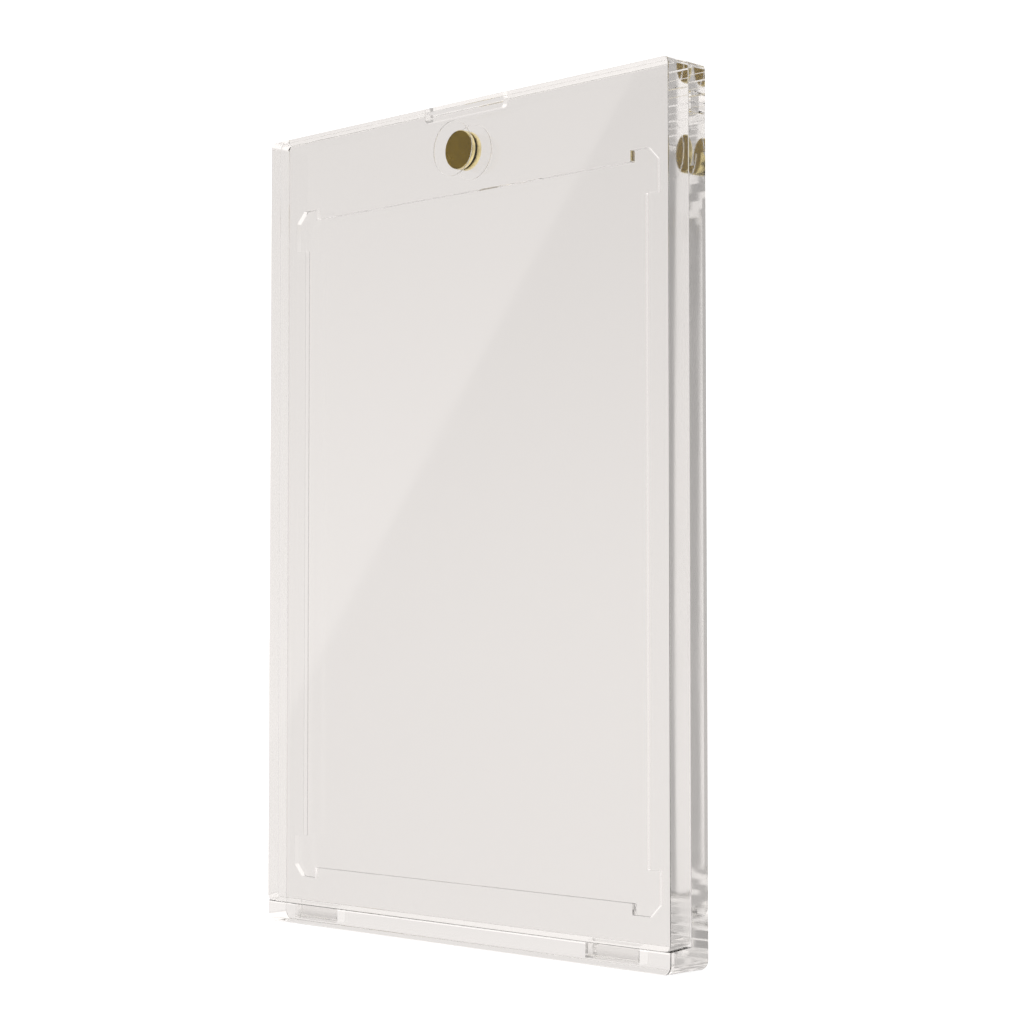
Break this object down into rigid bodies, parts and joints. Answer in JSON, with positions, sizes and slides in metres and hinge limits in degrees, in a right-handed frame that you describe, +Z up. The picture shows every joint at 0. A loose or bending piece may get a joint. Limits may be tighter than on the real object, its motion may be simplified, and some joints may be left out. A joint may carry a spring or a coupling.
{
  "type": "trading card display case",
  "caption": "Clear case that shows a trading card. Its front cover stands on the rear base's ledge, hooks in by tabs, tilts open forwards and is held shut by magnets.",
  "frame": {"origin": "middle of the underside of the base's ledge, on which the case stands upright", "axes": "+Z up along the card's height, -Y towards the front face, +X to the right for someone who looks at the front face"},
  "size_m": [0.076, 0.007, 0.111],
  "materials": {
    "clear_plastic": "clear, polished",
    "gold_plate": "satin gold plate"
  },
  "bodies": {
    "base": {"rear_base": "clear_plastic", "rear_magnet": "gold_plate", "rear_plug": "clear_plastic"},
    "cover": {"front_cover": "clear_plastic", "front_magnet": "gold_plate", "front_plug": "clear_plastic"}
  },
  "joints": [
    {"name": "cover_tilt", "type": "hinge", "parent": "base", "child": "cover", "pos_m": [0, -0.0035, 0.0028], "axis": [1, 0, 0], "range_deg": [0, 60]}
  ]
}
